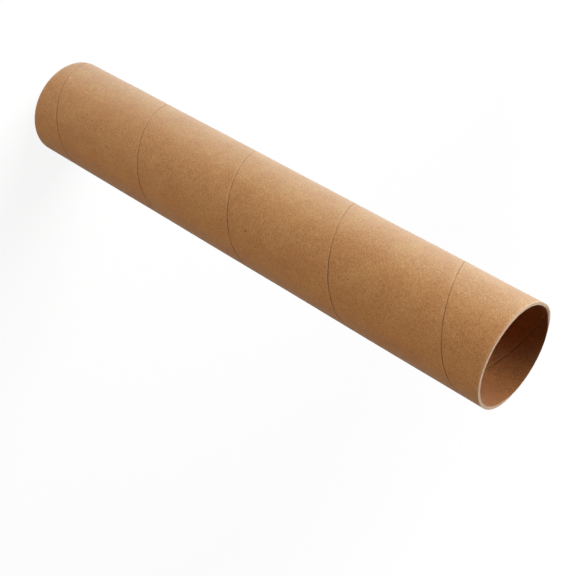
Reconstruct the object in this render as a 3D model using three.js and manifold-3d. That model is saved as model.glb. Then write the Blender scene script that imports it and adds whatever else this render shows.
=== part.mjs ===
// A kraft paper tube for mailing or storing rolled sheets, open at both ends and without caps.
// It is spiral wound: strips of kraft paper are glued on top of each other round a mandrel, each
// strip laid edge to edge with its own last turn, and the wound pipe is then cut square.
// The glued wall is one solid. Where the edges of one strip meet, a narrow open joint is left,
// which shows as a helical seam on the outside and as another on the inside.
// Millimetres, +Z along the tube's axis, origin at the centre of the bottom cut end.
import * as THREE from "three";
import { mergeVertices } from "three/addons/utils/BufferGeometryUtils.js";
import Module from "manifold-3d";

// Driving dimensions
const TUBE_LENGTH = 305;
const INNER_DIAMETER = 50.8;
const PLY_THICKNESS = 0.4;
const PLY_COUNT = 4;
// Width of the outermost strip, which sets how far the winding climbs in one turn
const STRIP_WIDTH = 61.4;
// Open joint between the strip's edges, measured square to the seam
const SEAM_GAP = 0.45;
// Corner that the cutting blade breaks off each edge of the cut ends
const EDGE_BREAK = 0.2;
// Directions, in degrees from +X towards +Y, in which the two seams leave the bottom end
const OUTER_SEAM_START = 191;
const INNER_SEAM_START = 294;

// Sizes that follow from them
const innerRadius = INNER_DIAMETER / 2;
const wall = PLY_COUNT * PLY_THICKNESS;
const outerRadius = innerRadius + wall;
// A strip of width w on a pipe of girth g climbs at the angle whose sine is w / g
const outerGirth = 2 * Math.PI * outerRadius;
const windingAngle = Math.asin(STRIP_WIDTH / outerGirth);
const pitch = outerGirth * Math.tan(windingAngle);
// Every ply climbs by the same pitch, so an inner ply, on its shorter girth, is wound steeper
const innerWindingAngle = Math.atan(pitch / (2 * Math.PI * innerRadius));

// Fineness of the round faces: the seams bend at the same directions as the wall's facets
const FACETS = 80;
const FACET_TURN = (2 * Math.PI) / FACETS;
// How far a seam's cutter stands out of the wall, so that it cuts cleanly through the surface
const CUTTER_RELIEF = 0.6;

const wasm = await Module();
wasm.setup();

// A closed geometry as a solid that can be joined and cut.
function solidOf(geometry) {
  const bare = geometry.clone();
  bare.deleteAttribute("normal");
  bare.deleteAttribute("uv");
  const merged = mergeVertices(bare, 1e-4);
  return new wasm.Manifold(
    new wasm.Mesh({
      numProp: 3,
      vertProperties: merged.getAttribute("position").array,
      triVerts: new Uint32Array(merged.index.array),
    }),
  );
}

// A solid as flat-shaded geometry.
function geometryOf(solid) {
  const mesh = solid.getMesh();
  const indexed = new THREE.BufferGeometry();
  indexed.setAttribute(
    "position",
    new THREE.BufferAttribute(mesh.vertProperties, mesh.numProp),
  );
  indexed.setIndex(new THREE.BufferAttribute(mesh.triVerts, 1));
  const geometry = indexed.toNonIndexed();
  geometry.computeVertexNormals();
  return geometry;
}

// The wall before its seams: a ring with broken corners, turned about the axis.
function plainWall() {
  const corners = [
    [innerRadius, EDGE_BREAK],
    [innerRadius + EDGE_BREAK, 0],
    [outerRadius - EDGE_BREAK, 0],
    [outerRadius, EDGE_BREAK],
    [outerRadius, TUBE_LENGTH - EDGE_BREAK],
    [outerRadius - EDGE_BREAK, TUBE_LENGTH],
    [innerRadius + EDGE_BREAK, TUBE_LENGTH],
    [innerRadius, TUBE_LENGTH - EDGE_BREAK],
  ];
  const profile = [...corners, corners[0]].map(
    ([radius, height]) => new THREE.Vector2(radius, height),
  );
  return new THREE.LatheGeometry(profile, FACETS).rotateX(Math.PI / 2);
}

// A square-edged strip that follows a helix of the tube's pitch from below the tube to above it.
// lowRadius and highRadius bound it radially; it meets the height 0 in the direction startDegrees.
function helicalStrip(lowRadius, highRadius, windAngle, startDegrees) {
  const start = THREE.MathUtils.degToRad(startDegrees);
  const halfHeight = SEAM_GAP / Math.cos(windAngle) / 2;
  const turnsPerHeight = (2 * Math.PI) / pitch;
  const overrun = halfHeight + pitch / FACETS;
  const first = Math.floor((start - overrun * turnsPerHeight) / FACET_TURN);
  const last = Math.ceil(
    (start + (TUBE_LENGTH + overrun) * turnsPerHeight) / FACET_TURN,
  );

  const positions = [];
  for (let step = first; step <= last; step++) {
    const direction = step * FACET_TURN;
    const height = (direction - start) / turnsPerHeight;
    for (const [radius, side] of [
      [lowRadius, -1],
      [highRadius, -1],
      [highRadius, 1],
      [lowRadius, 1],
    ])
      positions.push(
        radius * Math.cos(direction),
        radius * Math.sin(direction),
        height + side * halfHeight,
      );
  }

  const faces = [];
  const quad = (a, b, c, d) => faces.push(a, b, c, a, c, d);
  for (let step = 0; step < last - first; step++)
    for (let edge = 0; edge < 4; edge++) {
      const here = 4 * step + edge;
      const beside = 4 * step + ((edge + 1) % 4);
      quad(here, here + 4, beside + 4, beside);
    }
  const end = 4 * (last - first);
  quad(0, 1, 2, 3);
  quad(end + 3, end + 2, end + 1, end);

  const geometry = new THREE.BufferGeometry();
  geometry.setAttribute(
    "position",
    new THREE.Float32BufferAttribute(positions, 3),
  );
  geometry.setIndex(faces);
  return geometry;
}

// The seam in the outermost ply goes as deep as that ply, and so does the one in the innermost.
function outerSeam() {
  return helicalStrip(
    outerRadius - PLY_THICKNESS,
    outerRadius + CUTTER_RELIEF,
    windingAngle,
    OUTER_SEAM_START,
  );
}

function innerSeam() {
  return helicalStrip(
    innerRadius - CUTTER_RELIEF,
    innerRadius + PLY_THICKNESS,
    innerWindingAngle,
    INNER_SEAM_START,
  );
}

function paperTube() {
  const woundWall = solidOf(plainWall())
    .subtract(solidOf(outerSeam()))
    .subtract(solidOf(innerSeam()));
  const kraftPaper = new THREE.MeshStandardMaterial({
    color: 0xb58a5e,
    roughness: 0.88,
    metalness: 0,
  });
  const mesh = new THREE.Mesh(geometryOf(woundWall), kraftPaper);
  mesh.name = "paper_tube";
  return mesh;
}

const part = new THREE.Group();
part.add(paperTube());

export default part;
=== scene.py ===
# %% [markdown]
# # A kraft paper tube
# A mailing tube is wound, not rolled. Narrow strips of kraft paper are glued on top of each
# other round a steel rod, each strip laid edge to edge with its own last turn, and the pipe
# that comes off the rod is cut square into lengths. What makes it look real is small: the
# helical joint of the strip, the pale cut end with its plies, and the fibres in the paper.
# This lesson builds that wall as one closed mesh, worked out with numpy, and finishes it with
# shader nodes. Lengths are in metres, and the tube stands on its end with its axis along +Z.

import bpy
import numpy as np
from mathutils import Matrix, Vector


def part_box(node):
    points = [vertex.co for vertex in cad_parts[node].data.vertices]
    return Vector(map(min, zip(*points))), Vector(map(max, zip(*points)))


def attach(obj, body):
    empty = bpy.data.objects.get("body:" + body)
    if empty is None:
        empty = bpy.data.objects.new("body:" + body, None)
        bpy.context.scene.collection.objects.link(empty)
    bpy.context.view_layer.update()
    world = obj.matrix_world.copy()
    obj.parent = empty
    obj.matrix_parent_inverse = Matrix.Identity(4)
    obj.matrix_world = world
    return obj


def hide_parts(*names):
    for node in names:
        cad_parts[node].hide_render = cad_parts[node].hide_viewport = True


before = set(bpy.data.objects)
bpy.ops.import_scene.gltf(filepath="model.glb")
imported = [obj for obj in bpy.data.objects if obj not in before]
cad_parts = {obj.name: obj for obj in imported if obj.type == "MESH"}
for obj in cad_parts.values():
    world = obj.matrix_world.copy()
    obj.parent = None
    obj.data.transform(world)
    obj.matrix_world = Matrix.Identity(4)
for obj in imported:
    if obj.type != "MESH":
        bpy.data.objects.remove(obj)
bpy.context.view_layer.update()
node_low, node_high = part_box("paper_tube")
TUBE_LENGTH = float(node_high[2] - node_low[2])
OUTER_RADIUS = float(node_high[0] - node_low[0]) / 2
print("tube length and outer diameter, mm:", round(TUBE_LENGTH * 1000, 2), round(OUTER_RADIUS * 2000, 2))

# %% [markdown]
# ## The camera
# The tube in the photograph lies down, and this one stands up. A camera that is rolled by the
# same turn shows the standing tube exactly as the lying one was seen, so only the camera turns
# and the object keeps its own frame. Its place and directions come from fitting the tube's two
# edges, its rims and its seam to a single pinhole camera.

# %% Camera place, direction and lens
CAMERA_PLACE = Vector((0.0, -0.51825, 0.50360))
LOOK_DIRECTION = Vector((0.04181, 0.85124, -0.52311))
PICTURE_UP = Vector((-0.87046, -0.22598, -0.43730))
SENSOR_WIDTH_MM = 36.0
LENS_MM = 77.203


def add_camera():
    """A camera whose three axes are the picture's right, its up, and the way back to the viewer."""
    back = -LOOK_DIRECTION.normalized()
    right = PICTURE_UP.cross(back).normalized()
    up = back.cross(right)
    camera = bpy.data.objects.new("camera", bpy.data.cameras.new("camera"))
    camera.data.sensor_width = SENSOR_WIDTH_MM
    camera.data.lens = LENS_MM
    camera.data.clip_start = 0.01
    camera.data.clip_end = 50
    facing = Matrix((right, up, back)).transposed().to_4x4()
    camera.matrix_world = Matrix.Translation(CAMERA_PLACE) @ facing
    bpy.context.collection.objects.link(camera)
    bpy.context.scene.camera = camera
    return camera


camera = add_camera()
print("camera at, m:", [round(v, 3) for v in camera.location])

# %% [markdown]
# ## Sizes of the winding
# A strip of width w on a pipe of girth g climbs at the angle whose sine is w / g, and each turn
# lifts it by the girth times that angle's tangent. All plies climb by the same pitch. Only the
# outermost and the innermost strip show, so only their joints are modelled.

# %% Winding sizes
MM = 0.001
TURN = 2 * np.pi
INNER_RADIUS = 25.4 * MM
PLY_THICKNESS = 0.4 * MM
PLY_COUNT = 4
STRIP_WIDTH = 61.4 * MM
SEAM_GAP = 0.45 * MM
EDGE_BREAK = 0.2 * MM
OUTER_SEAM_START = np.radians(191)
INNER_SEAM_START = np.radians(294)
PITCH = TURN * OUTER_RADIUS * np.tan(np.arcsin(STRIP_WIDTH / (TURN * OUTER_RADIUS)))
print("pitch of the winding, mm:", round(PITCH / MM, 2))

# %% [markdown]
# ## Small unevenness
# Paper tube is never quite round or smooth. Random numbers per vertex would look like sand, so
# the unevenness is a sum of long cosine waves with random directions and phases. A wave closes
# round the tube when it has a whole number of crests on the girth. The random numbers come from
# a seeded generator, so each run gives the same tube.


# %% Wave sums on the wall and along the seam
def wave_sum(generator, count, most_crests, shortest):
    """A function of direction and height: the sum of count cosines of (crests x direction +
    wave number x height + phase), scaled so that it seldom leaves -1 to 1. Crests are whole."""
    crests = generator.integers(-most_crests, most_crests + 1, count)
    wave_numbers = generator.uniform(-TURN / shortest, TURN / shortest, count)
    phases = generator.uniform(0, TURN, count)

    def value(direction, height):
        total = np.zeros(np.broadcast(direction, height).shape)
        for crest, wave_number, phase in zip(crests, wave_numbers, phases):
            total += np.cos(crest * direction + wave_number * height + phase)
        return total * np.sqrt(2 / count) / 2

    return value


def smooth_step(value, start, end):
    """0 below start, 1 above end, and the cubic 3x^2 - 2x^3 between them."""
    share = np.clip((value - start) / (end - start), 0, 1)
    return share * share * (3 - 2 * share)


seeded = np.random.default_rng(42)
broad_waves = wave_sum(seeded, count=12, most_crests=4, shortest=60 * MM)
fine_waves = wave_sum(seeded, count=40, most_crests=24, shortest=9 * MM)
rim_waves = wave_sum(seeded, count=40, most_crests=110, shortest=3 * MM)
joint_phases = seeded.uniform(0, TURN, 3)
round_middle = broad_waves(np.linspace(0, TURN, 400), TUBE_LENGTH / 2)
print("broad waves round the middle:", round_middle.min().round(2), "to", round_middle.max().round(2))


# %% [markdown]
# ## The joint of the strip
# The strip's edges were laid side by side with a hair's breadth between them. That gap is not
# even: it opens and closes along the seam, and it gapes a little where the seam runs out at a
# cut end, because the strip's sharp corner has nothing to hold it. Its width is a function of
# the height that the joint has reached, and so of how far the strip has been wound. Glue has
# risen into it, so it is a little less deep than the ply is thick. A dark line in the colour
# would be simpler, but it would catch no light at its edges, so the joint is a real groove.


# %% Width and depth of the open joint
SLOW_WAVES = (0.9, 2.3)
QUICK_WAVES = (11.7, 7.1)
GAPE_REACH = 5 * MM
OUTER_SHIFT = 0.0
INNER_SHIFT = 1.7
# Parts of the joint's width, in gaps, and the limits that their sum is held in
MEAN_WIDTH = 0.72
SLOW_SWING = 0.2
QUICK_SWING = 0.14
END_GAPE = 0.5
NARROWEST = 0.2
WIDEST = 1.6
JOINT_DEPTH = 0.28 * MM
# Distance from the joint's middle, in joint widths, to the foot and to the top of its side
GROOVE_FOOT = 0.34
GROOVE_TOP = 0.5
ROUNDING = 0.05 * MM
ROUNDING_REACH = 0.12 * MM
LIP = 0.03 * MM
LIP_REACH = 0.7 * MM


def joint_width(height, shift):
    """The gap times the sum of a mean, two slow and two quick waves of the wound angle, and a gape
    that dies away exponentially from both cut ends. shift moves the waves, so that two joints
    differ."""
    wound = TURN * height / PITCH + shift
    slow = sum(np.cos(rate * wound + phase) for rate, phase in zip(SLOW_WAVES, joint_phases[[0, 1]]))
    quick = sum(np.cos(rate * wound + phase) for rate, phase in zip(QUICK_WAVES, joint_phases[[2, 0]]))
    gape = np.exp(-np.abs(height) / GAPE_REACH) + np.exp(-np.abs(TUBE_LENGTH - height) / GAPE_REACH)
    width = MEAN_WIDTH + SLOW_SWING * slow + QUICK_SWING * quick + END_GAPE * gape
    return SEAM_GAP * np.clip(width, NARROWEST, WIDEST)


def joint_sink(above, below, height, shift):
    """How far the surface lies under the strip's face, from its distances to the joint below it
    and to the joint above it: the full depth inside the gap, then a rounded edge, and a slightly
    raised lip that dies away exponentially."""
    width_above = joint_width(height - above, shift)
    width_below = joint_width(height + below, shift)
    near = np.minimum(above / width_above, below / width_below)
    past_edge = np.minimum(above - width_above * GROOVE_TOP, below - width_below * GROOVE_TOP)
    groove = JOINT_DEPTH * (1 - smooth_step(near, GROOVE_FOOT, GROOVE_TOP))
    rounded = ROUNDING * (1 - smooth_step(past_edge, 0, ROUNDING_REACH))
    raised = LIP * np.exp(-np.maximum(past_edge, 0) / LIP_REACH)
    return np.where(near < GROOVE_TOP, groove + rounded, rounded - raised)


sample = joint_width(np.linspace(0, TUBE_LENGTH, 500), OUTER_SHIFT)
print("joint width, mm:", round(sample.min() / MM, 2), "to", round(sample.max() / MM, 2))

# %% [markdown]
# ## The wound wall
# A plain cylinder grid would cut across the seam in steps. Here the grid is wound as the paper
# is: its rows run along the strip, close together beside the joint and further apart in the
# middle, and its columns are directions round the tube. Going once round leads to the same row
# of the next turn. Rows that pass a cut end are pressed onto it, where all of a column's points
# become one, and the triangles that vanish this way are left out.

# %% Rows of the wound grid
COLUMNS = 320
MIDDLE_ROWS = 15
# Rows beside a joint: a number of joint widths, and a distance that is added to it
EDGE_ROWS = [
    (0, 0),
    (GROOVE_FOOT, 0),
    (GROOVE_TOP, 0),
    (GROOVE_TOP, ROUNDING_REACH),
    (GROOVE_TOP, 0.45 * MM),
    (GROOVE_TOP, 1.3 * MM),
]
# Turns of the grid that start below the tube, and turns beyond the tube's own length in all
TURNS_BELOW = 3
SPARE_TURNS = 5


def strip_rows():
    """Three arrays that give each row's height above the strip's lower joint, which is
    low x (width of the lower joint) - high x (width of the upper joint) + fixed."""
    low_edge = [widths for widths, _ in EDGE_ROWS]
    fixed_edge = [extra for _, extra in EDGE_ROWS]
    high_edge = low_edge[:0:-1]
    upper_edge = [PITCH - extra for extra in fixed_edge[:0:-1]]
    start = fixed_edge[-1]
    share = np.linspace(0, 1, MIDDLE_ROWS + 2)[1:-1]
    low = np.concatenate([low_edge, GROOVE_TOP * (1 - share), np.zeros(len(high_edge))])
    high = np.concatenate([np.zeros(len(low_edge)), GROOVE_TOP * share, high_edge])
    fixed = np.concatenate([fixed_edge, start + share * (PITCH - 2 * start), upper_edge])
    return low, high, fixed


def wound_heights(seam_start, shift):
    """The heights of all rows and columns, row by row and turn by turn, before the cut ends are
    there: height of the joint in that turn and direction + the row's height above it. Also gives
    the joint's height in direction 0 of turn 0 and the number of the first turn."""
    low, high, fixed = strip_rows()
    base_height = -PITCH * seam_start / TURN
    first_turn = int(np.floor(-base_height / PITCH)) - TURNS_BELOW
    turns = int(np.ceil(TUBE_LENGTH / PITCH)) + SPARE_TURNS
    turn = first_turn + np.arange(turns)[:, None, None]
    column = np.arange(COLUMNS + 1)[None, None, :]
    joint = base_height + PITCH * (turn + column / COLUMNS)
    in_strip = (
        low[None, :, None] * joint_width(joint, shift)
        - high[None, :, None] * joint_width(joint + PITCH, shift)
        + fixed[None, :, None]
    )
    return (joint + in_strip).reshape(turns * len(fixed), COLUMNS + 1), base_height, first_turn


def point_numbers(height, low_end, high_end):
    """The number of the point at each row and column, and the numbers along both rims. The last
    column is the first one of the next turn, and on a cut end a whole column is one point."""
    rows = len(strip_rows()[0])
    total = len(height) + rows
    grid = np.arange(total)[:, None] * COLUMNS + np.arange(COLUMNS)[None, :]
    numbers = np.concatenate([grid[:-rows], grid[rows:, :1]], axis=1)
    low_rim = total * COLUMNS + np.arange(COLUMNS + 1) % COLUMNS
    high_rim = low_rim + COLUMNS
    numbers = np.where(height == low_end, low_rim, numbers)
    numbers = np.where(height == high_end, high_rim, numbers)
    return numbers, low_rim[:-1], high_rim[:-1]


print("rows in one turn of the grid:", len(strip_rows()[0]))

# %% [markdown]
# ## From the grid to a face
# Each point's distance from the axis comes from a function of its direction, its height and its
# distance to the joint, so that the same grid serves the outer and the inner face. Unrolled and
# turned by the strip's lean, the grid also gives each corner its place on the strip, along it
# and across it.


# %% A wall with a wound grid
# Points that are nearer than this to a cut end are moved onto it
RIM_SNAP = 0.12 * MM
# Share of a turn that keeps a joint's own points from being counted to the turn below
TINY_TURN = 1e-9


def strip_places(unwound, height, base_height, wall_radius):
    """Metres along and across the strip: the arc and the rise on the unrolled wall, turned by the
    strip's lean."""
    lean = np.arctan2(PITCH, TURN * wall_radius)
    arc = wall_radius * unwound
    rise = height - base_height
    along = arc * np.cos(lean) + rise * np.sin(lean)
    across = rise * np.cos(lean) - arc * np.sin(lean)
    return np.stack([along, across], axis=-1)


def wound_wall(radius_of, seam_start, shift, low_end, high_end, wall_radius, outward):
    """A wall between two heights whose grid follows a helical joint. The point in column j has
    the direction 2 pi j / columns, and its height is held between the two ends, which may differ
    from column to column. radius_of(direction, above, below, height) is its distance from the
    axis, where above and below are its distances to the joint below it and above it.
    Returns points, triangles, the strip places of their corners, and both rims' point numbers."""
    height, base_height, first_turn = wound_heights(seam_start, shift)
    height = np.where(height < low_end + RIM_SNAP, low_end, height)
    height = np.where(height > high_end - RIM_SNAP, high_end, height)
    numbers, low_rim, high_rim = point_numbers(height, low_end, high_end)

    direction = TURN * (np.arange(COLUMNS + 1) / COLUMNS) + np.zeros_like(height)
    climbed = (height - base_height) / PITCH - direction / TURN
    above = np.maximum((climbed - np.floor(climbed + TINY_TURN)) * PITCH, 0)
    radius = radius_of(direction, above, PITCH - above, height)
    places = np.stack([radius * np.cos(direction), radius * np.sin(direction), height], axis=-1)
    points = np.zeros((high_rim[-1] + 1, 3))
    points[numbers[:, :-1]] = places[:, :-1]

    face_row = np.arange(len(height) - 1)[:, None, None]
    corner_row = face_row + np.array([0, 0, 1, 1])
    corner_column = np.arange(COLUMNS)[None, :, None] + np.array([0, 1, 1, 0])
    face_turn = face_row // len(strip_rows()[0])
    unwound = TURN * (first_turn + face_turn + corner_column / COLUMNS)
    on_strip = strip_places(unwound, height[corner_row, corner_column], base_height, wall_radius)

    split = np.array([[0, 1, 2], [0, 2, 3]])
    triangles = numbers[corner_row, corner_column][..., split].reshape(-1, 3)
    on_strip = on_strip[:, :, split].reshape(-1, 3, 2)
    a, b, c = triangles.T
    real = (a != b) & (b != c) & (c != a)
    order = slice(None) if outward else slice(None, None, -1)
    return points, triangles[real][:, order], on_strip[real][:, order], low_rim, high_rim


outer_lean = float(np.degrees(np.arctan2(PITCH, TURN * OUTER_RADIUS)))
print("lean of the strip outside, degrees:", round(outer_lean, 1))

# %% [markdown]
# ## Shape of the outer and the inner face
# Both faces share the wall's slight lack of roundness, or the wall would change thickness. The
# blade pressed the top end a little out of round on one side, and beside that the innermost ply
# has come loose where its joint runs out. On the far side, where the blade left the wall last,
# it dragged the inner plies outwards, so that the wall thins towards its rim. Every bump stays
# inside the box of the plain tube.

# %% Radius of the two faces
RIM_BULGE = 0.55 * MM
BULGE_DIRECTION = np.radians(160)
BULGE_SPREAD = np.radians(17)
BULGE_REACH = 26 * MM
LOOSE_PLY = 0.4 * MM
LOOSE_DIRECTION = np.radians(154)
LOOSE_SPREAD = np.radians(13)
LOOSE_REACH = 6 * MM
FAR_DIRECTION = np.radians(92)
FAR_HALF_WIDTH = np.radians(46)
FAR_EASE = np.radians(16)
FAR_THINNING = 0.85 * MM
FAR_REACH = 3.5 * MM
FAR_DROP = 0.42 * MM
DENT = 0.07 * MM
OUTER_ROUGH = 0.012 * MM
INNER_ROUGH = 0.015 * MM
# Angle by which the inner face's unevenness is turned, so that it differs from the outer one's
INNER_TURN = 2
# How far the outer face is held inside the plain tube's, for the lip of its joint
OUTER_MARGIN = 0.03 * MM


def turn_from(direction, other):
    """The angle from other to direction, between -pi and pi."""
    return (direction - other + np.pi) % TURN - np.pi


def bell(direction, middle, spread):
    """1 in the middle direction, falling off as a bell curve."""
    return np.exp(-((turn_from(direction, middle) / spread) ** 2))


def out_of_round(direction, height):
    """A few broad dents, mostly inwards, plus a bulge at the top rim whose size falls off as a
    bell curve of the direction and exponentially below the rim."""
    dents = DENT * (broad_waves(direction, height) - 1)
    bulge = RIM_BULGE * bell(direction, BULGE_DIRECTION, BULGE_SPREAD)
    return dents + bulge * np.exp(-(TUBE_LENGTH - height) / BULGE_REACH)


def outer_radius(direction, above, below, height):
    """Outer radius - margin + lack of roundness + fine unevenness - the open joint's sink."""
    sink = joint_sink(above, below, height, OUTER_SHIFT)
    uneven = OUTER_ROUGH * (fine_waves(direction, height) - 1)
    return OUTER_RADIUS - OUTER_MARGIN + out_of_round(direction, height) + uneven - sink


def far_side(direction):
    """1 where the blade left the wall, easing to 0 beside it."""
    angle = np.abs(turn_from(direction, FAR_DIRECTION))
    return smooth_step(angle, FAR_HALF_WIDTH + FAR_EASE, FAR_HALF_WIDTH - FAR_EASE)


def dragged(direction, height):
    """How far the inner face is moved outwards near the top rim: outwards on the far side and
    inwards where the ply is loose, both dying away exponentially below the rim."""
    below_rim = TUBE_LENGTH - height
    loose = LOOSE_PLY * bell(direction, LOOSE_DIRECTION, LOOSE_SPREAD)
    thinned = FAR_THINNING * far_side(direction)
    return thinned * np.exp(-below_rim / FAR_REACH) - loose * np.exp(-below_rim / LOOSE_REACH)


def inner_radius(direction, above, below, height):
    """Inner radius + lack of roundness + fine unevenness + the open joint's sink + how far the
    ply is dragged."""
    sink = joint_sink(above, below, height, INNER_SHIFT)
    uneven = INNER_ROUGH * fine_waves(direction + INNER_TURN, height)
    return INNER_RADIUS + out_of_round(direction, height) + uneven + sink + dragged(direction, height)


thinned_wall = PLY_COUNT * PLY_THICKNESS - FAR_THINNING
print("wall at the top rim's far side, about, mm:", round(thinned_wall / MM, 2))

# %% The outer and the inner face
# The outer face ends a little lower on the far side, where the blade broke its corner off.
column_directions = TURN * np.arange(COLUMNS + 1) / COLUMNS
inner_top = TUBE_LENGTH - EDGE_BREAK
outer_top = inner_top - FAR_DROP * far_side(column_directions)
outer = wound_wall(
    outer_radius,
    OUTER_SEAM_START,
    OUTER_SHIFT,
    low_end=EDGE_BREAK,
    high_end=outer_top,
    wall_radius=OUTER_RADIUS,
    outward=True,
)
inner = wound_wall(
    inner_radius,
    INNER_SEAM_START,
    INNER_SHIFT,
    low_end=EDGE_BREAK,
    high_end=inner_top,
    wall_radius=INNER_RADIUS,
    outward=False,
)
print("triangles of the outer and inner face:", len(outer[1]), len(inner[1]))

# %% [markdown]
# ## The cut ends
# The blade leaves a flat ring in which the four plies just show, with a slightly broken corner
# on both sides and short fibres pulled out of line. The ring is a grid too. Its rows run round
# the tube, and its columns lead from the outer face's rim to the inner one's, so that it shares
# both rims' points and closes the wall.

# %% Ring between the two faces
CORNER_TURNS = np.radians([18, 36, 54, 72, 90])
FLAT_ROWS = 13
PLY_RIDGE = 0.35
RAGGED = 0.05 * MM
RAG_STRETCH = 6 * MM
RAG_FADE = 1.2
LOOSE_GAP_DEPTH = 3 * MM
LOOSE_GAP_PLACE = 0.75
LOOSE_GAP_WIDTH = 0.05


def ring_profile():
    """Two arrays from the outer rim to the inner one: the share of the wall's thickness that is
    crossed, and how far the ring lies under the cut, in units of the broken corner. Each ply is
    a low rounded ridge."""
    corner_share = EDGE_BREAK / (PLY_COUNT * PLY_THICKNESS)
    outer_share = corner_share * (1 - np.cos(CORNER_TURNS))
    outer_sink = 1 - np.sin(CORNER_TURNS)
    flat = np.linspace(corner_share, 1 - corner_share, FLAT_ROWS)[1:-1]
    in_ply = (flat * PLY_COUNT) % 1
    flat_sink = PLY_RIDGE * (np.abs(in_ply - 0.5) * 2) ** 4
    share = np.concatenate([outer_share, flat, 1 - outer_share[::-1]])
    sink = np.concatenate([outer_sink, flat_sink, outer_sink[::-1]])
    return share, sink


def cut_ring(outer_rim, inner_rim, upwards):
    """The ring's points between two rims. Radius and height are mixed from the rims' by the share
    of the thickness. The height then rises by the broken corner less the profile, a raggedness
    that fades out in the broken corners and, on top, the gap behind the loose ply."""
    share, sink = ring_profile()
    direction = column_directions[:-1, None]
    outside = np.hypot(outer_rim[:, 0], outer_rim[:, 1])[:, None]
    inside = np.hypot(inner_rim[:, 0], inner_rim[:, 1])[:, None]
    radius = outside + (inside - outside) * share
    level = outer_rim[:, 2:] + (inner_rim[:, 2:] - outer_rim[:, 2:]) * share
    ragged = RAGGED * np.maximum(rim_waves(direction, share * RAG_STRETCH + level) + 1, 0)
    rise = EDGE_BREAK * (1 - sink) - ragged * smooth_step(sink, RAG_FADE, 0)
    if upwards:
        gap = np.exp(-(((share - LOOSE_GAP_PLACE) / LOOSE_GAP_WIDTH) ** 2))
        rise = rise - LOOSE_GAP_DEPTH * gap * bell(direction, LOOSE_DIRECTION, LOOSE_SPREAD)
    height = level + rise if upwards else level - rise
    return np.stack([radius * np.cos(direction), radius * np.sin(direction), height], axis=-1)


def ring_faces(columns_of_ids, upwards):
    """Triangles between neighbouring columns of point numbers, closed round the tube."""
    following = np.roll(columns_of_ids, -1, axis=0)
    corners = np.stack(
        [columns_of_ids[:, :-1], following[:, :-1], following[:, 1:], columns_of_ids[:, 1:]], axis=-1
    )
    triangles = corners[..., [[0, 1, 2], [0, 2, 3]]].reshape(-1, 3)
    return triangles if upwards else triangles[:, ::-1]


print("points across the wall in a cut end:", len(ring_profile()[0]) + 2)

# %% [markdown]
# ## One closed mesh
# The two faces and the two rings are numbered one after the other, points that no triangle uses
# are dropped, and the result goes into Blender in one step. The strip coordinates become the UV
# map, in metres along and across the strip, so a pattern can follow the paper and breaks only
# where the paper itself does, at its joint.


# %% Joining the surfaces
def join_wall():
    """Points, triangles, UV corners and material numbers of the whole wall."""
    outer_points, outer_triangles, outer_places, outer_low, outer_high = outer
    inner_points, inner_triangles, inner_places, inner_low, inner_high = inner
    shift = len(outer_points)
    points = [outer_points, inner_points]
    triangles = [outer_triangles, inner_triangles + shift]
    places = [outer_places, inner_places]
    kinds = [np.zeros(len(outer_triangles), int), np.ones(len(inner_triangles), int)]
    count = shift + len(inner_points)
    for outer_rim, inner_rim, upwards in ((outer_high, inner_high, True), (outer_low, inner_low, False)):
        ring = cut_ring(outer_points[outer_rim], inner_points[inner_rim], upwards)
        across = ring.shape[1]
        ring_ids = count + np.arange(COLUMNS * across).reshape(COLUMNS, across)
        ids = np.column_stack([outer_rim, ring_ids, inner_rim + shift])
        faces = ring_faces(ids, upwards)
        points.append(ring.reshape(-1, 3))
        triangles.append(faces)
        count += COLUMNS * across
        everything = np.concatenate(points)
        corner = everything[faces]
        depth = (OUTER_RADIUS - np.hypot(corner[..., 0], corner[..., 1])) / PLY_THICKNESS
        places.append(np.stack([corner[..., 2], depth], axis=-1))
        kinds.append(np.full(len(faces), 2))
    points = np.concatenate(points)
    triangles = np.concatenate(triangles)
    used, triangles = np.unique(triangles, return_inverse=True)
    return points[used], triangles.reshape(-1, 3), np.concatenate(places), np.concatenate(kinds)


def mesh_object(name, points, triangles, places, kinds):
    """An object from point and triangle arrays, smooth shaded, with a UV map."""
    mesh = bpy.data.meshes.new(name)
    mesh.from_pydata(points, [], triangles)
    mesh.polygons.foreach_set("material_index", kinds.astype(np.int32))
    strip_map = mesh.uv_layers.new(name="strip")
    strip_map.data.foreach_set("uv", places.reshape(-1).astype(np.float32))
    mesh.shade_smooth()
    mesh.update()
    made = bpy.data.objects.new(name, mesh)
    bpy.context.collection.objects.link(made)
    return made


wall_points, wall_triangles, wall_places, wall_kinds = join_wall()
wound_tube = mesh_object("wound_tube", wall_points, wall_triangles, wall_places, wall_kinds)
print("points and triangles of the tube:", len(wall_points), len(wall_triangles))

# %% [markdown]
# ## Placing nodes
# Shader nodes are many small calls, so a few helpers keep the recipes readable. One adds a node
# and fills its sockets, from plain values or from other nodes. The others use it for the nodes
# that come up again and again, and start or place a group with named inputs and outputs.


# %% Node helpers
def fill(tree, socket, value):
    """Links the socket to another node's output, or sets it to a plain value."""
    if isinstance(value, bpy.types.NodeSocket):
        tree.links.new(value, socket)
    else:
        socket.default_value = value


def node(tree, kind, inputs=None, **settings):
    """Adds a node of that kind, sets its properties, and fills its inputs, by name or number."""
    made = tree.nodes.new(kind)
    for name, value in settings.items():
        setattr(made, name, value)
    for name, value in (inputs or {}).items():
        fill(tree, made.inputs[name], value)
    return made


def maths(tree, operation, first, second=0.0, third=0.0):
    """The output of a Math node with up to three values."""
    made = node(tree, "ShaderNodeMath", {0: first, 1: second, 2: third}, operation=operation)
    return made.outputs[0]


def vector_maths(tree, operation, first, second):
    """The output of a Vector Math node with two vectors."""
    made = node(tree, "ShaderNodeVectorMath", {0: first, 1: second}, operation=operation)
    return made.outputs[0]


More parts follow.
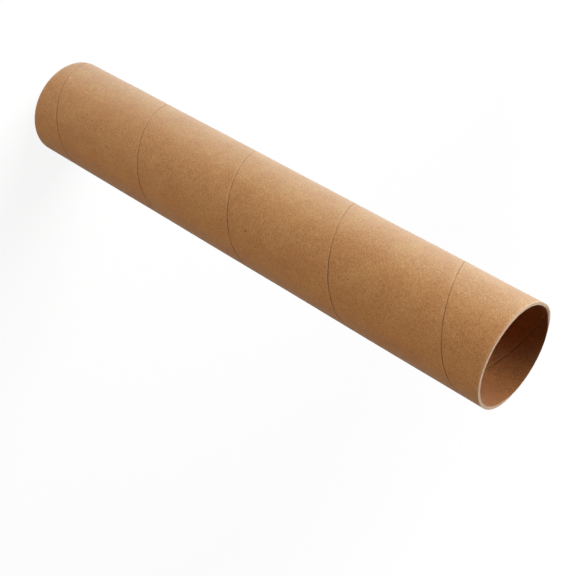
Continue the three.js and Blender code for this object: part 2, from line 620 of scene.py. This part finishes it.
def vector(tree, x, y, z=1.0):
    """The output of a node that makes a vector from three values."""
    return node(tree, "ShaderNodeCombineXYZ", {"X": x, "Y": y, "Z": z}).outputs[0]


def part_of(tree, place, axis):
    """The X, Y or Z of a vector."""
    return node(tree, "ShaderNodeSeparateXYZ", {"Vector": place}).outputs[axis]


def blend(tree, share, first, second, mode="MIX"):
    """The colour output of a Mix node: first, changed by second in the given share."""
    inputs = {0: share, 6: first, 7: second}
    return node(tree, "ShaderNodeMix", inputs, data_type="RGBA", blend_type=mode).outputs[2]


def ranged(tree, value, low, high, to_low=0.0, to_high=1.0, steps="LINEAR"):
    """Moves a value from the range low to high onto another range, held inside it."""
    inputs = {"Value": value, "From Min": low, "From Max": high, "To Min": to_low, "To Max": to_high}
    return node(tree, "ShaderNodeMapRange", inputs, interpolation_type=steps).outputs["Result"]


def noise(tree, place, scale, detail, roughness=0.5, distortion=0.0, dimensions="3D"):
    """A Noise Texture node. scale counts the noise's cells in one unit of the coordinates."""
    inputs = {"Vector": place, "Scale": scale, "Detail": detail, "Roughness": roughness}
    inputs["Distortion"] = distortion
    return node(tree, "ShaderNodeTexNoise", inputs, noise_dimensions=dimensions)


def new_group(name, inputs, outputs):
    """An empty node group, with the sockets of its input and its output node. inputs name each
    socket with its kind and default, and outputs name each socket with its kind."""
    tree = bpy.data.node_groups.new(name, "ShaderNodeTree")
    for label, kind, default in inputs:
        socket = tree.interface.new_socket(label, in_out="INPUT", socket_type=kind)
        if default is not None:
            socket.default_value = default
    for label, kind in outputs:
        tree.interface.new_socket(label, in_out="OUTPUT", socket_type=kind)
    return tree, tree.nodes.new("NodeGroupInput").outputs, tree.nodes.new("NodeGroupOutput").inputs


def use_group(tree, group, inputs):
    """Places a group in a material's tree with its own values, and gives its outputs."""
    return node(tree, "ShaderNodeGroup", inputs, node_tree=group).outputs


VALUE = "NodeSocketFloat"
VECTOR = "NodeSocketVector"
print("kinds of socket in the groups:", VALUE, "and", VECTOR)

# %% [markdown]
# ## Fibres in the paper
# Kraft paper is a mat of wood fibres a few millimetres long that lie mostly along the strip, so
# it shows short soft streaks that way. A noise texture stretched along one axis gives them. It
# is laid over a finer, even noise for the fibres that lie across. Both work on the strip's own
# coordinates and are one group, because the outer and the inner face both need it.


# %% Fibre grain group
def fibre_group():
    """Grain is 0.6 x a noise stretched to Length and Width + 0.4 x a fine, even noise."""
    inputs = [("Place", VECTOR, None), ("Length mm", VALUE, 2.2), ("Width mm", VALUE, 0.22)]
    tree, given, result = new_group("paper fibres", inputs, [("Grain", VALUE)])
    in_mm = vector_maths(tree, "MULTIPLY", given["Place"], (1 / MM, 1 / MM, 1 / MM))
    size = vector(tree, given["Length mm"], given["Width mm"])
    stretched = vector_maths(tree, "DIVIDE", in_mm, size)
    long_fibres = noise(tree, stretched, 1.0, 3.0, 0.6, distortion=0.4, dimensions="2D").outputs["Fac"]
    fine_fibres = noise(tree, in_mm, 2.6, 3.0, 0.7, dimensions="2D").outputs["Fac"]
    fine_part = maths(tree, "MULTIPLY", fine_fibres, 0.4)
    fill(tree, result["Grain"], maths(tree, "MULTIPLY_ADD", long_fibres, 0.6, fine_part))
    return tree


fibres = fibre_group()
print("group:", fibres.name)

# %% [markdown]
# ## Flecks
# Bark and darker fibres leave small flecks, most of them under a millimetre and a few larger.
# A Voronoi texture scatters one point in each cell, a stretched coordinate makes the spots
# slightly long, and each cell's own random number decides whether it has a fleck at all.


# %% Fleck group
FLECK_WOBBLE = 0.12


def fleck_group():
    """The mask is 1 near a cell's point and fades to 0 at Size times the spacing from it, in the
    Share of cells picked at random. Each cell's random colour also makes its fleck smaller and
    fainter."""
    inputs = [
        ("Place", VECTOR, None),
        ("Spacing mm", VALUE, 2.0),
        ("Size", VALUE, 0.16),
        ("Share", VALUE, 0.3),
        ("Stretch", VALUE, 1.8),
    ]
    tree, given, result = new_group("paper flecks", inputs, [("Mask", VALUE)])
    spacing = maths(tree, "MULTIPLY", given["Spacing mm"], MM)
    long_spacing = maths(tree, "MULTIPLY", spacing, given["Stretch"])
    scaled = vector_maths(tree, "DIVIDE", given["Place"], vector(tree, long_spacing, spacing))
    wobble = noise(tree, scaled, 3.0, 2.0, dimensions="2D").outputs["Color"]
    inputs = {0: FLECK_WOBBLE, 4: scaled, 5: wobble}
    moved = node(tree, "ShaderNodeMix", inputs, data_type="VECTOR").outputs[1]
    inputs = {"Vector": moved, "Scale": 1.0}
    cells = node(tree, "ShaderNodeTexVoronoi", inputs, voronoi_dimensions="2D")
    lots = node(tree, "ShaderNodeSeparateColor", {"Color": cells.outputs["Color"]}).outputs
    picked = maths(tree, "LESS_THAN", lots[0], given["Share"])
    own_size = maths(tree, "MULTIPLY", given["Size"], ranged(tree, lots[1], 0, 1, 0.5, 1.0))
    half_size = maths(tree, "MULTIPLY", own_size, 0.5)
    spot = ranged(tree, cells.outputs["Distance"], half_size, own_size, 1.0, 0.0, "SMOOTHSTEP")
    strength = maths(tree, "MULTIPLY", spot, ranged(tree, lots[2], 0, 1, 0.35, 1.0))
    fill(tree, result["Mask"], maths(tree, "MULTIPLY", strength, picked))
    return tree


flecks = fleck_group()
print("group:", flecks.name)

# %% [markdown]
# ## Clouds
# Held against the light, paper is cloudy, because the fibres settle unevenly. On the face that
# shows as soft patches of slightly darker and lighter brown, from under a millimetre to
# eighteen across. Three noises of different sizes give them, in object space, because the clouds
# of neighbouring turns then run on across the joint, which keeps it a thin line.


# %% Cloud group
def cloud_group():
    """Three noises in object space: Broad is 18 mm across, Close 4 mm and Fine 0.7 mm."""
    outputs = [("Broad", VALUE), ("Close", VALUE), ("Fine", VALUE)]
    tree, given, result = new_group("paper clouds", [("Place", VECTOR, None)], outputs)
    for name, scale, detail in (("Broad", 55.0, 2.0), ("Close", 250.0, 3.0), ("Fine", 1400.0, 2.0)):
        cloud = noise(tree, given["Place"], scale, detail, 0.65)
        fill(tree, result[name], cloud.outputs["Fac"])
    return tree


clouds = cloud_group()
print("group:", clouds.name)

# %% [markdown]
# ## The seam's colour
# The open joint is modelled in the mesh, and shade alone makes it dark. Glue and dust darken the
# paper right beside it, unevenly along its length. The strip's upper edge stands a hair proud, and
# a pale line over the next millimetre is a painted highlight for the light that its lip catches.
# The distance across the strip gives a mask for each.


# %% Seam group
RIDGE_PLACE = 0.9 * MM
RIDGE_REACH = 0.8 * MM


def seam_group():
    """Dark falls from 1 at the strip's edges to 0 at Reach, times a noise along the strip. The painted
    highlight is 1 at 0.9 mm from the upper edge and falls to 0 within 0.8 mm, times the same noise."""
    inputs = [("Place", VECTOR, None), ("Width", VALUE, STRIP_WIDTH), ("Reach", VALUE, 0.35 * MM)]
    tree, given, result = new_group("strip edge", inputs, [("Dark", VALUE), ("Painted highlight", VALUE)])
    to_low_edge = part_of(tree, given["Place"], "Y")
    to_high_edge = maths(tree, "SUBTRACT", given["Width"], to_low_edge)
    distance = maths(tree, "MINIMUM", to_low_edge, to_high_edge)
    near = maths(tree, "SUBTRACT", 1.0, maths(tree, "DIVIDE", distance, given["Reach"]))
    uneven = noise(tree, given["Place"], 90.0, 3.0, dimensions="2D").outputs["Fac"]
    patchy = ranged(tree, uneven, 0.35, 0.65, 0.45, 1.0)
    fill(tree, result["Dark"], maths(tree, "MULTIPLY", ranged(tree, near, 0, 1), patchy))
    # Painted highlight: a pale line near the strip's upper edge
    from_ridge = maths(tree, "ABSOLUTE", maths(tree, "SUBTRACT", to_high_edge, RIDGE_PLACE))
    ridge = ranged(tree, from_ridge, 0, RIDGE_REACH, 1.0, 0.0)
    fill(tree, result["Painted highlight"], maths(tree, "MULTIPLY", ridge, patchy))
    return tree


strip_edge = seam_group()
print("group:", strip_edge.name)

# %% [markdown]
# ## Worn ends
# Handling rubs the last millimetre or two at each cut end: fibres stand up, and the brown face
# turns a little paler. A line painted round each end would be too even, so the distance to the
# nearer end gives the mask, and a noise breaks it up.


# %% End wear group
def wear_group():
    """The mask is 1 at a cut end. It falls to 0 at a distance of 1.6 x Reach x a noise from it."""
    inputs = [("Place", VECTOR, None), ("Length", VALUE, TUBE_LENGTH), ("Reach", VALUE, 2 * MM)]
    tree, given, result = new_group("worn ends", inputs, [("Mask", VALUE)])
    height = part_of(tree, given["Place"], "Z")
    to_top = maths(tree, "SUBTRACT", given["Length"], height)
    distance = maths(tree, "MINIMUM", height, to_top)
    uneven = noise(tree, given["Place"], 700.0, 3.0).outputs["Fac"]
    moved = maths(tree, "DIVIDE", distance, maths(tree, "MULTIPLY", given["Reach"], uneven))
    fill(tree, result["Mask"], ranged(tree, moved, 0.2, 1.6, 1.0, 0.0))
    return tree


worn_ends = wear_group()
print("group:", worn_ends.name)

# %% [markdown]
# ## Kraft paper finish
# The face is unbleached brown paper, pressed smooth but not coated. It is matt seen square on,
# and at a shallow angle it takes a pale veil of light from its pressed fibres: a rough specular
# and a little sheen give both. The side towards +X is painted darker and redder, a painted shade
# for the shadow along that side. The joint's dark line is painted stronger there and fainter on
# the other side, as painted shade too. The side towards -X is painted paler and greyer, a painted
# sheen for the pale veil of light on that side. Both tints multiply the colour, in a mask of the
# X coordinate. The finish could be one long recipe. It is built up in layers instead, and the
# outer and the inner face share them with their own values.


# %% Layers of the paper's colour
DARK_FIBRE = (0.67, 0.54, 0.36, 1)
LIGHT_FIBRE = (1.33, 1.46, 1.64, 1)
# How strong each kind of fleck is, its colour, and its values for the group
FLECK_KINDS = [
    (0.4, (0.10, 0.045, 0.018, 1), {"Spacing mm": 1.5, "Size": 0.2, "Share": 0.3}),
    (0.15, (0.75, 0.52, 0.32, 1), {"Spacing mm": 2.3, "Size": 0.18, "Share": 0.22}),
    (0.8, (0.07, 0.03, 0.012, 1), {"Spacing mm": 13.0, "Size": 0.05, "Share": 0.14, "Stretch": 1.0}),
]
# Painted highlight for the strip's upper edge, then the worn ends' colour
PAINTED_EDGE_HIGHLIGHT = (0.8, 0.55, 0.34, 1)
WORN_PAPER = (0.62, 0.44, 0.28, 1)
# Painted shade: a darker, redder tint for the side towards +X, standing for shade along that side
PAINTED_SHADE_TINT = (0.8, 0.72, 0.6, 1)
# Painted sheen: a paler, greyer tint for the side towards -X, standing for the pale veil of light there
PAINTED_SHEEN_TINT = (1.03, 1.18, 1.45, 1)


def side_mask(tree, place, start, end, low, high):
    """Goes from low to high while X goes from start to end, both in outer radii."""
    across = part_of(tree, place, "X")
    return ranged(tree, across, start * OUTER_RADIUS, end * OUTER_RADIUS, low, high)


def paper_colour(tree, cloud, grain, pale, deep):
    """Deep to pale brown by the broad clouds, times a tint by 0.5 x the grain + 0.4 x the fine
    clouds + 0.1 x the close ones."""
    colour = blend(tree, ranged(tree, cloud["Broad"], 0.36, 0.64), deep, pale)
    mottle = maths(tree, "MULTIPLY_ADD", cloud["Fine"], 0.4, maths(tree, "MULTIPLY", cloud["Close"], 0.1))
    mottle = maths(tree, "MULTIPLY_ADD", grain, 0.5, mottle)
    tint = blend(tree, ranged(tree, mottle, 0.35, 0.65), DARK_FIBRE, LIGHT_FIBRE)
    return blend(tree, 1.0, colour, tint, "MULTIPLY")


def with_flecks(tree, strip, colour):
    """The colour with each kind of fleck laid over it."""
    for strength, fleck_colour, values in FLECK_KINDS:
        mask = use_group(tree, flecks, {"Place": strip} | values)["Mask"]
        colour = blend(tree, maths(tree, "MULTIPLY", mask, strength), colour, fleck_colour)
    return colour


def with_seam(tree, place, strip, strip_width, seam_colour, colour):
    """The colour with the joint's dark line, made stronger towards +X and fainter towards -X as painted
    shade, and a painted highlight along the strip's upper edge.
    """
    edge = use_group(tree, strip_edge, {"Place": strip, "Width": strip_width})
    # Painted shade: the joint's dark line is strengthened towards +X and weakened towards -X
    joint_side_shade = side_mask(tree, place, -0.6, 0.6, 0.35, 1.45)
    colour = blend(tree, maths(tree, "MULTIPLY", edge["Dark"], joint_side_shade), colour, seam_colour)
    # Painted highlight along the strip's upper edge
    return blend(tree, maths(tree, "MULTIPLY", edge["Painted highlight"], 0.09), colour, PAINTED_EDGE_HIGHLIGHT)


def with_wear_and_painted_light(tree, place, worn, painted_side_light, colour):
    """The colour with worn ends, painted shade on the side towards +X and a painted sheen on the side
    towards -X.
    """
    wear = use_group(tree, worn_ends, {"Place": place})["Mask"]
    colour = blend(tree, maths(tree, "MULTIPLY", wear, worn), colour, WORN_PAPER)
    # Painted shade: the side towards +X is tinted darker and redder
    painted_shade = side_mask(tree, place, 0.66, 0.98, 0.0, painted_side_light)
    colour = blend(tree, painted_shade, colour, PAINTED_SHADE_TINT, "MULTIPLY")
    # Painted sheen: the side towards -X is tinted paler and greyer
    painted_sheen = side_mask(tree, place, -0.33, -0.75, 0.0, painted_side_light)
    return blend(tree, painted_sheen, colour, PAINTED_SHEEN_TINT, "MULTIPLY")


print("kinds of fleck:", len(FLECK_KINDS))


# %% Kraft paper materials
def new_material(name):
    """A material with nodes, its tree, and its two coordinate outputs."""
    material = bpy.data.materials.new(name)
    material.use_nodes = True
    tree = material.node_tree
    coordinates = node(tree, "ShaderNodeTexCoord")
    return material, tree, coordinates.outputs["Object"], coordinates.outputs["UV"]


def set_principled(tree, inputs):
    """Fills sockets of the material's own Principled shader."""
    shader = tree.nodes["Principled BSDF"]
    for name, value in inputs.items():
        fill(tree, shader.inputs[name], value)


def kraft_paper(name, pale, deep, strip_width, seam_colour, sheen, worn, painted_side_light):
    """Brown paper from its pale and its deep colour, with its layers. worn is how strong the worn
    ends are, and the argument after it how strong the painted shade towards +X and the painted sheen
    towards -X are."""
    material, tree, place, strip = new_material(name)
    cloud = use_group(tree, clouds, {"Place": place})
    grain = use_group(tree, fibres, {"Place": strip})["Grain"]
    colour = paper_colour(tree, cloud, grain, pale, deep)
    colour = with_flecks(tree, strip, colour)
    colour = with_seam(tree, place, strip, strip_width, seam_colour, colour)
    colour = with_wear_and_painted_light(tree, place, worn, painted_side_light, colour)
    height = maths(tree, "MULTIPLY_ADD", cloud["Close"], 1.5, grain)
    bump = node(tree, "ShaderNodeBump", {"Strength": 0.35, "Distance": 0.05 * MM, "Height": height})
    finish = {
        "Base Color": colour,
        "Roughness": ranged(tree, grain, 0.3, 0.7, 0.52, 0.68),
        "Normal": bump.outputs["Normal"],
        "Specular IOR Level": 0.1,
        "Sheen Weight": sheen,
        "Sheen Roughness": 0.5,
    }
    set_principled(tree, finish)
    return material


outer_paper = kraft_paper(
    "kraft paper, outer face",
    pale=(0.47, 0.241, 0.088, 1),
    deep=(0.442, 0.212, 0.076, 1),
    strip_width=STRIP_WIDTH,
    seam_colour=(0.10, 0.04, 0.016, 1),
    sheen=0.5,
    worn=0.35,
    painted_side_light=1.0,
)
inner_strip_width = float(PITCH * np.cos(np.arctan2(PITCH, TURN * INNER_RADIUS)))
# Painted shade and painted bounce light: the inner face is the same paper, given a redder, more saturated
# colour than the outer face
shaded_inner_paper = kraft_paper(
    "kraft paper, inner face with painted shade",
    pale=(0.47, 0.19, 0.062, 1),
    deep=(0.39, 0.155, 0.048, 1),
    strip_width=inner_strip_width,
    seam_colour=(0.16, 0.066, 0.024, 1),
    sheen=0.15,
    worn=0.1,
    painted_side_light=0.0,
)
print("width of the strip inside, mm:", round(inner_strip_width / MM, 2))

# %% [markdown]
# ## Cut board finish
# The cut shows the paper's inside: paler and greyer than its face, open and a little fluffy.
# The UV map's second value counts the plies from the outside, so a dark line can be drawn at
# each whole number, where the glue is.


# %% Cut end material
BOARD_DARK = (0.36, 0.24, 0.148, 1)
BOARD_PALE = (0.59, 0.42, 0.287, 1)
GLUE_LINE = (0.26, 0.17, 0.10, 1)


def cut_board():
    """Dark to pale fibre by a noise, with a thin line where the ply count is near a whole one."""
    material, tree, place, strip = new_material("cut board edge")
    in_ply = maths(tree, "FRACT", part_of(tree, strip, "Y"))
    from_middle = maths(tree, "ABSOLUTE", maths(tree, "SUBTRACT", in_ply, 0.5))
    glue = ranged(tree, from_middle, 0.38, 0.5)
    fluff = noise(tree, place, 2200.0, 3.0, 0.7).outputs["Fac"]
    colour = blend(tree, ranged(tree, fluff, 0.3, 0.7), BOARD_DARK, BOARD_PALE)
    colour = blend(tree, maths(tree, "MULTIPLY", glue, 0.45), colour, GLUE_LINE)
    bump = node(tree, "ShaderNodeBump", {"Strength": 0.5, "Distance": 0.08 * MM, "Height": fluff})
    finish = {
        "Base Color": colour,
        "Roughness": 0.9,
        "Normal": bump.outputs["Normal"],
        "Sheen Weight": 0.2,
    }
    set_principled(tree, finish)
    return material


for finish in (outer_paper, shaded_inner_paper, cut_board()):
    wound_tube.data.materials.append(finish)
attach(wound_tube, "root")
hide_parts("paper_tube")
print("finishes on the tube:", [finish.name for finish in wound_tube.data.materials])

# %% [markdown]
# ## Floor and surroundings
# The photograph has a pure white background. The floor throws back little light, but to the
# camera it adds a white glow of its own. Round the tube the glow falls just short of white, so
# that the tube's shadow shows there, and further off it is full, so that no lamp's edge or
# horizon is seen. The world is white too beyond the floor's edge.

# %% Floor and world
FLOOR_SIZE = 12.0
FLOOR_GREY = (0.12, 0.12, 0.12, 1)
GLOW_NEAR = 0.9
GLOW_FAR = 1.0
NEAR_END = 0.5
FAR_START = 1.4
AMBIENT = 0.02


def seen_rays(tree):
    """1 for rays from the camera and for mirror and glass rays, 0 for all other light."""
    ray = node(tree, "ShaderNodeLightPath").outputs
    seen = maths(tree, "MAXIMUM", ray["Is Camera Ray"], ray["Is Glossy Ray"])
    return maths(tree, "MAXIMUM", seen, ray["Is Transmission Ray"])


def floor_material():
    """Diffuse for all light, plus a glow where it is seen: GLOW_NEAR up to NEAR_END metres from
    the middle, rising to GLOW_FAR at FAR_START."""
    material = bpy.data.materials.new("white floor")
    material.use_nodes = True
    tree = material.node_tree
    tree.nodes.remove(tree.nodes["Principled BSDF"])
    diffuse = node(tree, "ShaderNodeBsdfDiffuse", {"Color": FLOOR_GREY})
    place = node(tree, "ShaderNodeTexCoord").outputs["Object"]
    away = node(tree, "ShaderNodeVectorMath", {0: place}, operation="LENGTH").outputs["Value"]
    level = ranged(tree, away, NEAR_END, FAR_START, GLOW_NEAR, GLOW_FAR)
    strength = maths(tree, "MULTIPLY", seen_rays(tree), level)
    glow = node(tree, "ShaderNodeEmission", {"Strength": strength})
    both = node(tree, "ShaderNodeAddShader", {0: diffuse.outputs[0], 1: glow.outputs[0]})
    fill(tree, tree.nodes["Material Output"].inputs["Surface"], both.outputs[0])
    return material


def add_floor():
    """A square at height 0, far wider than the picture."""
    half = FLOOR_SIZE / 2
    corners = [(-half, -half, 0), (half, -half, 0), (half, half, 0), (-half, half, 0)]
    mesh = bpy.data.meshes.new("floor")
    mesh.from_pydata(corners, [], [(0, 1, 2, 3)])
    mesh.materials.append(floor_material())
    floor = bpy.data.objects.new("floor", mesh)
    bpy.context.collection.objects.link(floor)


def set_world():
    """White where the camera looks past the floor, and a dim even light for everything else."""
    world = bpy.data.worlds.new("studio")
    world.use_nodes = True
    tree = world.node_tree
    background = tree.nodes["Background"]
    fill(tree, background.inputs["Strength"], ranged(tree, seen_rays(tree), 0, 1, AMBIENT, 1.0))
    fill(tree, background.inputs["Color"], (1, 1, 1, 1))
    bpy.context.scene.world = world


add_floor()
set_world()
print("floor side, m:", FLOOR_SIZE)

# %% [markdown]
# ## Lamps
# The photograph is lit from one side. Two wide, low lamps stand there, one a little behind the
# tube and one well in front, and a third hangs high between them and reaches into the bore. Low
# lamps end below the rim, so that the bore stays as dark as it is in the photograph. A fill lamp
# stands in front on the other side. It is slightly warm, because the shaded side is a deeper
# brown. One more lamp stands behind, for whoever walks round the tube.


# %% Lamps
LAMP_TARGET = Vector((0, 0, 0.15))
LOW_DISTANCE = 2.4
HIGH_DISTANCE = 1.2
WIDE = (1.2, 0.28)
SQUARE = (0.5, 0.5)
WHITE = (1, 1, 1)
WARM = (1, 0.83, 0.65)


def add_lamp(name, bearing, power, lift=0, distance=LOW_DISTANCE, sides=WIDE, colour=WHITE):
    """An area lamp that faces the tube. bearing is its direction round the tube in degrees, from
    -Y towards -X, lift its angle above the target's height, and power is in watts."""
    direction = np.radians(-90 - bearing)
    rise = np.radians(lift)
    flat = distance * np.cos(rise)
    offset = (flat * np.cos(direction), flat * np.sin(direction), distance * np.sin(rise))
    place = LAMP_TARGET + Vector(offset)
    lamp = bpy.data.objects.new(name, bpy.data.lights.new(name, "AREA"))
    lamp.data.shape = "RECTANGLE"
    lamp.data.size, lamp.data.size_y = sides
    lamp.data.energy = power
    lamp.data.color = colour
    lamp.location = place
    lamp.rotation_euler = (LAMP_TARGET - place).to_track_quat("-Z", "Y").to_euler()
    bpy.context.collection.objects.link(lamp)


add_lamp("side lamp", bearing=96, power=19)
add_lamp("front side lamp", bearing=60, power=37)
add_lamp("high lamp", bearing=90, power=14.5, lift=62, distance=HIGH_DISTANCE, sides=SQUARE)
add_lamp("fill lamp", bearing=-46, power=32, colour=WARM)
add_lamp("back lamp", bearing=180, power=24)
bpy.context.scene.view_settings.view_transform = "Standard"
